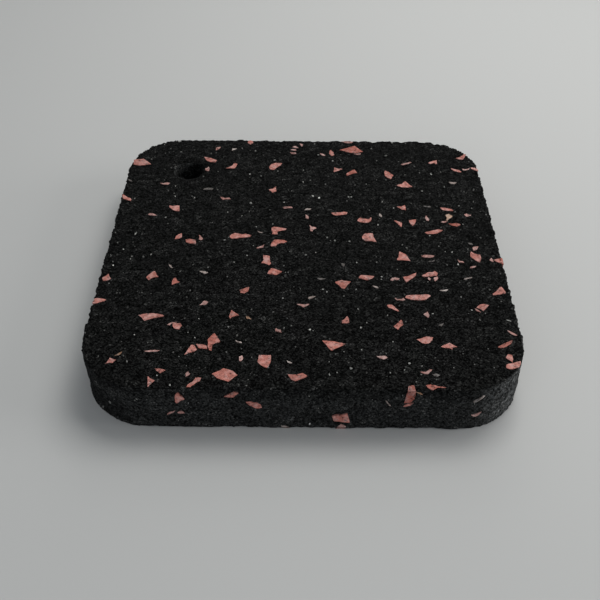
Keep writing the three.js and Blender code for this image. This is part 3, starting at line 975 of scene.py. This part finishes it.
def tinted_material(name, grain_width, unevenness):
    """Rubber that takes its colour from each face's tint, with a fine uneven grain."""
    material, tree, shader, place_mm = new_material(name)
    tint = add_node(tree, "ShaderNodeAttribute", attribute_name="tint").outputs["Color"]
    blotches = add_noise(tree, place_mm, grain_width, 3.0, 0.65).outputs["Fac"]
    grain = add_noise(tree, place_mm, grain_width / 4, 2.0, 0.6).outputs["Fac"]

    # Blotches, pores and cracks darken the tint
    shade = add_range(tree, blotches, 0.32, 0.68, 1 - unevenness, 1 + unevenness)
    pores = add_range(tree, grain, 0.3, 0.44, 0.5, 1.0)
    cracks = add_voronoi(tree, place_mm, 1.7 * grain_width, "DISTANCE_TO_EDGE").outputs["Distance"]
    cracks = add_range(tree, add_math(tree, "ADD", cracks, blotches), 0.42, 0.5, 0.4, 1.0)
    pores = add_math(tree, "MULTIPLY", pores, cracks)
    colour = scaled_colour(tree, tint, add_math(tree, "MULTIPLY", shade, pores))

    # A pale bloom lies over it, and is greyer than the tint itself
    bloom = add_noise(tree, place_mm, 1.3 * grain_width, 2.0, 0.5).outputs["Color"]
    bloom = add_node(tree, "ShaderNodeSeparateColor", {"Color": bloom}).outputs[1]
    paler = scaled_colour(tree, tint, add_range(tree, bloom, 0.46, 0.66, 0.0, 0.5))
    grey = add_node(tree, "ShaderNodeVectorMath", {0: paler, 1: (0.34, 0.33, 0.33)}, operation="DOT_PRODUCT")
    colour = add_node(tree, "ShaderNodeVectorMath", {0: colour, 1: grey.outputs["Value"]}, operation="ADD")
    tree.links.new(colour.outputs[0], shader.inputs["Base Color"])
    tree.links.new(add_bump(tree, grain, 0.1, 0.5), shader.inputs["Normal"])
    shader.inputs["Roughness"].default_value = 0.85
    shader.inputs["Specular IOR Level"].default_value = 0.2
    return material


class ChipHeap:
    """Many small closed chips gathered into one mesh, each with its own tint."""

    def __init__(self, slab, face_proud, wall_proud):
        self.heap = bmesh.new()
        self.chips = 0
        self.tints = []
        self.planes = slab.skin(face_proud, wall_proud)
        self.passing = bpy.data.meshes.new("passing_chip")

    def add(self, chip, tint):
        """Cuts a chip flush with the slab, and takes it in."""
        # Neighbours are cut at different levels, so that the faces of chips that overlap don't coincide
        level_step = 0.006
        levels = 6
        self.chips += 1
        cut_flush(chip, self.planes, level_step * (self.chips % levels))
        bmesh.ops.triangulate(chip, faces=chip.faces)
        chip.to_mesh(self.passing)
        self.tints.extend([tint] * len(chip.faces))
        self.heap.from_mesh(self.passing)
        chip.free()

    def to_mesh(self, name):
        mesh = bpy.data.meshes.new(name)
        self.heap.to_mesh(mesh)
        self.heap.free()
        bpy.data.meshes.remove(self.passing)
        flat = [part for tint in self.tints for part in tint]
        mesh.attributes.new("tint", "FLOAT_VECTOR", "FACE").data.foreach_set("vector", flat)
        return mesh


def close_openings(chip):
    """Fills what is open in a chip, each opening with one flat face."""
    open_edges = [edge for edge in chip.edges if edge.is_boundary]
    bmesh.ops.holes_fill(chip, edges=open_edges, sides=0)


def cut_flush(chip, planes, lift):
    """Cuts away what stands more than the lift past the slab, and closes the cuts."""
    for normal, reach in planes:
        if max(normal.dot(vertex.co) for vertex in chip.verts) > reach + lift:
            bmesh.ops.bisect_plane(
                chip,
                geom=chip.verts[:] + chip.edges[:] + chip.faces[:],
                dist=0.0001,
                plane_co=normal * (reach + lift),
                plane_no=normal,
                clear_outer=True,
            )
            close_openings(chip)
            if not chip.verts:
                return


def resized(corners, size):
    """The same outline, larger or smaller about its middle."""
    middle = sum(corners, Vector((0, 0))) / len(corners)
    return [middle + size * (corner - middle) for corner in corners]


def pointed(corners, longer):
    """Draws out the two corners that lie farthest apart, which gives a chip its sharp tips."""
    pairs = [(one, other) for one in range(len(corners)) for other in range(one)]
    one, other = max(pairs, key=lambda pair: (corners[pair[0]] - corners[pair[1]]).length)
    outward = (corners[one] - corners[other]).normalized() * longer
    result = list(corners)
    result[one] = corners[one] + outward
    result[other] = corners[other] - outward
    return result


def ragged(corners, draw):
    """Adds points between far corners, each a little off the straight line."""
    longest_straight = 0.8
    result = []
    for index, corner in enumerate(corners):
        following = corners[(index + 1) % len(corners)]
        result.append(corner)
        side = following - corner
        sideways = Vector((side.y, -side.x)).normalized()
        extra = min(int(side.length / longest_straight), 2)
        for step in range(extra):
            share = (step + 1 + draw.uniform(-0.25, 0.25)) / (extra + 1)
            result.append(corner + side * share + sideways * draw.uniform(-0.1, 0.08))
    return result


def fleck_outline(corners, draw):
    """A fleck's outline with sharp tips and ragged sides."""
    tip_length = 0.3
    return ragged(pointed(corners, tip_length), draw)


def fleck_chip(corners, where, depth):
    """An uncut chip that starts above the face with the outline and narrows down into the slab."""
    outside = 1.0
    narrow = 0.75
    chip = bmesh.new()
    outline = [chip.verts.new((corner.x, corner.y, outside)) for corner in corners]
    outer = chip.faces.new(outline)
    # This extrude gives its faces in the same order each run, and leaves the chip open where it began
    inner = bmesh.ops.extrude_discrete_faces(chip, faces=[outer])["faces"][0]
    bmesh.ops.translate(chip, verts=inner.verts, vec=(0, 0, -outside - depth))
    middle = sum(corners, Vector((0, 0))) / len(corners)
    bmesh.ops.scale(
        chip,
        verts=inner.verts,
        vec=(narrow, narrow, 1),
        space=Matrix.Translation((-middle.x, -middle.y, 0)),
    )
    close_openings(chip)
    bmesh.ops.recalc_face_normals(chip, faces=chip.faces)
    chip.transform(where)
    return chip


def corners_of(outline):
    """The corners of an outline that lists their two places in turn."""
    return [Vector(outline[start:start + 2]) for start in range(0, len(outline), 2)]


def scattered_outline(draw, typical):
    """A made-up fleck outline around the origin, longer than it is wide."""
    shortest = 0.9
    longest = 6.5
    length = min(max(typical * draw.lognormvariate(0, 0.42), shortest), longest)
    slender = draw.uniform(0.4, 0.9)
    turn = Matrix.Rotation(draw.gauss(0, 0.5), 2)
    count = draw.choice((4, 5, 5, 6, 7))
    corners = []
    for index in range(count):
        angle = math.tau * (index + draw.uniform(-0.32, 0.32)) / count
        reach = length / 2 * draw.uniform(0.6, 1.1)
        corners.append(turn @ Vector((reach * math.cos(angle), slender * reach * math.sin(angle))))
    return corners


def scattered_wall_place(slab, draw, around):
    """A random place on the walls, between two directions in degrees anticlockwise from +X."""
    lowest = 0.3
    below_top_edge = 1.7
    height = draw.uniform(lowest, THICKNESS - below_top_edge)
    straight = 2 * (HALF_WIDTH - slab.corner)
    rounded = slab.corner * math.pi / 2
    while True:
        quarter = draw.randrange(4)
        if draw.random() < straight / (straight + rounded):
            along = draw.uniform(-straight, straight) / 2
            found = slab.wall_place(math.radians(90 * quarter), along, height)
        else:
            found = slab.corner_place(math.radians(90 * quarter + draw.uniform(1, 89)), height)
        turned = math.degrees(math.atan2(found.translation.y, found.translation.x))
        if around[0] <= (turned + 90) % 360 - 90 <= around[1]:
            return found


def scattered_face_spot(slab, draw, from_wall, from_hole):
    """A random spot on a sliced face, at least so far from the walls and the hole."""
    while True:
        x = draw.uniform(-HALF_WIDTH, HALF_WIDTH)
        y = draw.uniform(-HALF_DEPTH, HALF_DEPTH)
        if slab.depth_from_wall(x, y) > from_wall and slab.depth_from_hole(x, y) > from_hole:
            return x, y


def grit_chip(where, across, along, draw):
    """A small faceted bit that lies just under the face it shows in."""
    sunk = 0.05
    own_share = 0.8  # each bit's listed size takes in the glow around it
    chip = bmesh.new()
    bmesh.ops.create_icosphere(chip, subdivisions=1, radius=0.5)
    for vertex in chip.verts:
        vertex.co *= draw.uniform(0.5, 1.25)
    turn = Matrix.Rotation(draw.uniform(-0.5, 0.5), 4, "Z")
    sizes = Matrix.Diagonal((own_share * across, own_share * along, 0.7 * min(across, along), 1))
    chip.transform(where @ Matrix.Translation((0, 0, -sunk)) @ turn @ sizes)
    return chip


def dimmed(colour, strength):
    """A colour at a share of its brightness."""
    return [strength * part for part in colour]


def varied(colour, draw):
    """A colour made a little darker or brighter, and faded by anything from nothing to a little."""
    spread = 0.12
    most_faded = 0.2
    strength = 1 + draw.uniform(-spread, spread)
    faded = draw.uniform(0, most_faded) * max(colour)
    return [strength * (part + faded) for part in colour]


class GYMTILE_OT_make_crumb_body(bpy.types.Operator):
    """Builds the slab of bonded black crumb in place of the plain one"""

    bl_idname = "gym_tile.make_crumb_body"
    bl_label = "Crumb Body"

    def execute(self, context):
        settings = context.scene.gym_tile_crumb
        slab = Slab(settings)
        deepest_pit = 0.45
        lowest = -0.05  # the tile lies on its underside, so no crumb stands out below it
        mesh = even_cells(merged_slab_mesh(), settings.mesh_cell / MM)
        bm = bmesh.new()
        bm.from_mesh(mesh)
        bm.normal_update()
        pale = []
        pit_shades = []
        moved = []
        for vertex in bm.verts:
            height, wall = crumb_height(vertex.co, vertex.normal, slab, settings)
            moved.append(vertex.co + vertex.normal * height)
            pale.append(paleness(vertex.co, wall, slab))
            # How deep a point lies in a pit, for the material's painted shade
            pit_shades.append(min(max(-height / deepest_pit, 0), 1))
        for vertex, place_moved in zip(bm.verts, moved):
            place_moved.z = max(place_moved.z, lowest)
            vertex.co = place_moved
        for face in bm.faces:
            face.smooth = True
        bm.to_mesh(mesh)
        bm.free()
        store_on_points(mesh, "pale", pale)
        store_on_points(mesh, "pit_shade", pit_shades)
        body = bring_in("crumb_body", mesh, crumb_material(settings))
        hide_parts("tile")
        return {"FINISHED"}


class GYMTILE_OT_set_flecks(bpy.types.Operator):
    """Sets the terracotta, pink, grey, tan and whitish flecks into the crumb"""

    bl_idname = "gym_tile.set_flecks"
    bl_label = "Flecks"

    def execute(self, context):
        settings = context.scene.gym_tile_flecks
        slab = Slab(context.scene.gym_tile_crumb)
        draw = random.Random(FLECK_SEED)
        heap = ChipHeap(slab, settings.proud / MM, settings.wall_proud / MM)
        depth = settings.depth / MM
        # Each list with the share of its size that is the fleck's own, and not the glow around it
        drawn = (
            (top_place(), settings.terracotta, 1, TOP_TERRACOTTA),
            (top_place(), settings.pink, 0.86, TOP_PINK),
            (top_place(), settings.grey, 0.8, TOP_GREY),
            (top_place(), settings.tan, 1, TOP_TAN),
            (top_place(), settings.whitish, 0.8, TOP_WHITISH),
            (front_place(), settings.terracotta, 1, FRONT_TERRACOTTA),
            (front_place(), settings.pink, 0.9, FRONT_PINK),
            (front_place(), settings.tan, 0.8, FRONT_TAN),
            (front_place(), settings.whitish, 1, FRONT_WHITISH),
            (top_place(), settings.brick_and_painted_shade, 1, TOP_BRICK_AND_PAINTED_SHADE),
            (front_place(), settings.brick_and_painted_shade, 1, FRONT_BRICK_AND_PAINTED_SHADE),
        )
        for where, colour, size, outlines in drawn:
            for outline in outlines:
                corners = fleck_outline(resized(corners_of(outline), size), draw)
                heap.add(fleck_chip(corners, where, depth), varied(colour, draw))

        # Each colour with its share of the scattered flecks and its size beside the typical one
        kinds = (
            (settings.terracotta, 62, 1),
            (settings.pink, 22, 0.8),
            (settings.grey, 5, 0.6),
            (settings.tan, 3, 0.5),
            (settings.whitish, 8, 0.5),
        )
        shares = [share for _, share, _ in kinds]
        typical = settings.typical_size / MM

        def add_scattered(where):
            """Adds one made-up fleck of a random colour."""
            colour, _, size = draw.choices(kinds, shares)[0]
            corners = fleck_outline(scattered_outline(draw, size * typical), draw)
            heap.add(fleck_chip(corners, where, depth), varied(colour, draw))

        for _ in range(settings.underside_count):
            x, y = scattered_face_spot(slab, draw, 3, 3.5)
            add_scattered(underside_place() @ Matrix.Translation((-x, y, 0)))
        # From just in front of the right wall's middle, round the back, to the same on the left
        side_and_back = (-15, 195)
        for _ in range(settings.wall_count):
            add_scattered(scattered_wall_place(slab, draw, side_and_back))

        material = tinted_material("coloured_rubber_flecks", 0.9, 0.3)
        bring_in("coloured_flecks", heap.to_mesh("coloured_flecks"), material)
        return {"FINISHED"}


class GYMTILE_OT_scatter_grit(bpy.types.Operator):
    """Scatters the pale grit between the black granules"""

    bl_idname = "gym_tile.scatter_grit"
    bl_label = "Pale Grit"

    def execute(self, context):
        settings = context.scene.gym_tile_grit
        slab = Slab(context.scene.gym_tile_crumb)
        draw = random.Random(GRIT_SEED)
        heap = ChipHeap(slab, settings.proud / MM, settings.wall_proud / MM)
        faint = (0.2, 0.8)
        bright = (0.8, 1.2)
        drawn = (
            (top_place(), faint, TOP_GRIT),
            (top_place(), bright, TOP_BRIGHT_GRIT),
            (front_place(), faint, FRONT_GRIT),
            (front_place(), bright, FRONT_BRIGHT_GRIT),
        )
        for face, strengths, bits in drawn:
            for x, y, across, along in bits:
                where = face @ Matrix.Translation((x, y, 0))
                tint = dimmed(settings.colour, draw.uniform(*strengths))
                heap.add(grit_chip(where, across, along, draw), tint)

        def add_scattered(where, boldest):
            """Adds one made-up bit, at most as bright as the boldest share of the grit's colour."""
            size = draw.uniform(0.25, 0.7)
            tint = dimmed(settings.colour, draw.uniform(0.08, boldest))
            heap.add(grit_chip(where, size, size * draw.uniform(0.6, 1.6), draw), tint)

        for _ in range(settings.top_count):
            x, y = scattered_face_spot(slab, draw, 0.2, 0.6)
            add_scattered(top_place() @ Matrix.Translation((x, y, 0)), 0.28)
        for _ in range(settings.underside_count):
            x, y = scattered_face_spot(slab, draw, 0.2, 0.6)
            add_scattered(underside_place() @ Matrix.Translation((-x, y, 0)), 0.45)
        all_round = (-90, 270)
        for _ in range(settings.wall_count):
            add_scattered(scattered_wall_place(slab, draw, all_round), 0.4)

        material = tinted_material("pale_rubber_grit", 0.6, 0.2)
        bring_in("pale_grit", heap.to_mesh("pale_grit"), material)
        return {"FINISHED"}


def add_light(name, location, size, power, colour):
    """Adds a square soft light that looks at the tile."""
    light = bpy.data.lights.new(name, "AREA")
    light.shape = "SQUARE"
    light.size = size
    light.energy = power
    light.color = colour
    lamp = bpy.data.objects.new(name, light)
    lamp.location = location
    lamp.rotation_euler = (-Vector(location)).to_track_quat("-Z", "Y").to_euler()
    bpy.context.scene.collection.objects.link(lamp)


def add_floor(colour):
    """Lays the floor a little below the underside, where flecks stand out by a few hundredths."""
    half_side = 3  # metres
    gap = 0.1 * MM
    bm = bmesh.new()
    bmesh.ops.create_grid(bm, x_segments=1, y_segments=1, size=half_side)
    bmesh.ops.translate(bm, verts=bm.verts, vec=(0, 0, -gap))
    mesh = bpy.data.meshes.new("studio_floor")
    bm.to_mesh(mesh)
    bm.free()
    material = bpy.data.materials.new("pale_floor")
    material.use_nodes = True
    shader = material.node_tree.nodes["Principled BSDF"]
    shader.inputs["Base Color"].default_value = (*colour, 1)
    shader.inputs["Roughness"].default_value = 0.75
    shader.inputs["Specular IOR Level"].default_value = 0.2
    mesh.materials.append(material)
    floor = bpy.data.objects.new("studio_floor", mesh)
    bpy.context.scene.collection.objects.link(floor)


def add_camera():
    """The camera stands in front, above the tile, and looks down on it."""
    forward = Vector((-0.0015, 0.7421, -0.6703)).normalized()
    upright = Vector((-0.0084, 0.6703, 0.742))
    right = forward.cross(upright).normalized()
    camera = bpy.data.cameras.new("photo_camera")
    camera.lens = 51.12
    camera.sensor_width = 36
    camera.clip_start = 0.01
    holder = bpy.data.objects.new("photo_camera", camera)
    position = Vector((-0.47, -172.61, 149.14)) * MM
    holder.matrix_world = place(position, right, right.cross(forward), -forward)
    bpy.context.scene.collection.objects.link(holder)
    bpy.context.scene.camera = holder


class GYMTILE_OT_build_stage(bpy.types.Operator):
    """Lays the pale floor and sets up the soft light and the camera"""

    bl_idname = "gym_tile.build_stage"
    bl_label = "Stage"

    def execute(self, context):
        settings = context.scene.gym_tile_stage
        add_floor(settings.floor_colour)
        add_light("key_light", (0.5, 0.0, 0.17), 0.3, settings.key_power, (1.0, 0.98, 0.95))
        add_light("top_light", (0.15, 0.2, 0.44), 0.3, settings.top_power, (1.0, 0.99, 0.95))
        add_light("back_light", (0.1, 0.8, 0.35), 0.5, settings.back_power, (1.0, 0.99, 0.96))
        add_light("fill_light", (-0.15, -0.5, 0.12), 0.5, settings.fill_power, (0.93, 0.97, 1.0))
        world = bpy.data.worlds.new("even_surround")
        world.use_nodes = True
        background = world.node_tree.nodes["Background"]
        background.inputs["Color"].default_value = (0.93, 0.97, 1.0, 1)
        background.inputs["Strength"].default_value = settings.sky_strength
        context.scene.world = world
        context.scene.view_settings.view_transform = "Standard"
        add_camera()
        return {"FINISHED"}


class GYMTILE_PT_panel(bpy.types.Panel):
    """Lists the tile's pieces and the stage"""

    bl_idname = "GYMTILE_PT_panel"
    bl_label = "Gym Floor Tile"
    bl_space_type = "VIEW_3D"
    bl_region_type = "UI"
    bl_category = "Gym Tile"

    def draw(self, context):
        for settings_name, operators in STEPS:
            box = self.layout.box()
            settings = getattr(context.scene, settings_name)
            for name in settings.bl_rna.properties.keys():
                if name not in ("rna_type", "name"):
                    box.prop(settings, name)
            for operator in operators:
                box.operator(operator)


STEPS = (
    ("gym_tile_crumb", ("gym_tile.make_crumb_body",)),
    ("gym_tile_flecks", ("gym_tile.set_flecks",)),
    ("gym_tile_grit", ("gym_tile.scatter_grit",)),
    ("gym_tile_stage", ("gym_tile.build_stage",)),
)
SETTINGS = {
    "gym_tile_crumb": GymTileCrumbSettings,
    "gym_tile_flecks": GymTileFleckSettings,
    "gym_tile_grit": GymTileGritSettings,
    "gym_tile_stage": GymTileStageSettings,
}
OTHER_CLASSES = (
    GYMTILE_OT_make_crumb_body,
    GYMTILE_OT_set_flecks,
    GYMTILE_OT_scatter_grit,
    GYMTILE_OT_build_stage,
    GYMTILE_PT_panel,
)


def register():
    for name, settings_class in SETTINGS.items():
        bpy.utils.register_class(settings_class)
        setattr(bpy.types.Scene, name, PointerProperty(type=settings_class))
    for other_class in OTHER_CLASSES:
        bpy.utils.register_class(other_class)


def unregister():
    for other_class in reversed(OTHER_CLASSES):
        bpy.utils.unregister_class(other_class)
    for name, settings_class in SETTINGS.items():
        delattr(bpy.types.Scene, name)
        bpy.utils.unregister_class(settings_class)


def main():
    register()
    bpy.ops.gym_tile.make_crumb_body()
    bpy.ops.gym_tile.set_flecks()
    bpy.ops.gym_tile.scatter_grit()
    bpy.ops.gym_tile.build_stage()


if __name__ == "__main__":
    main()
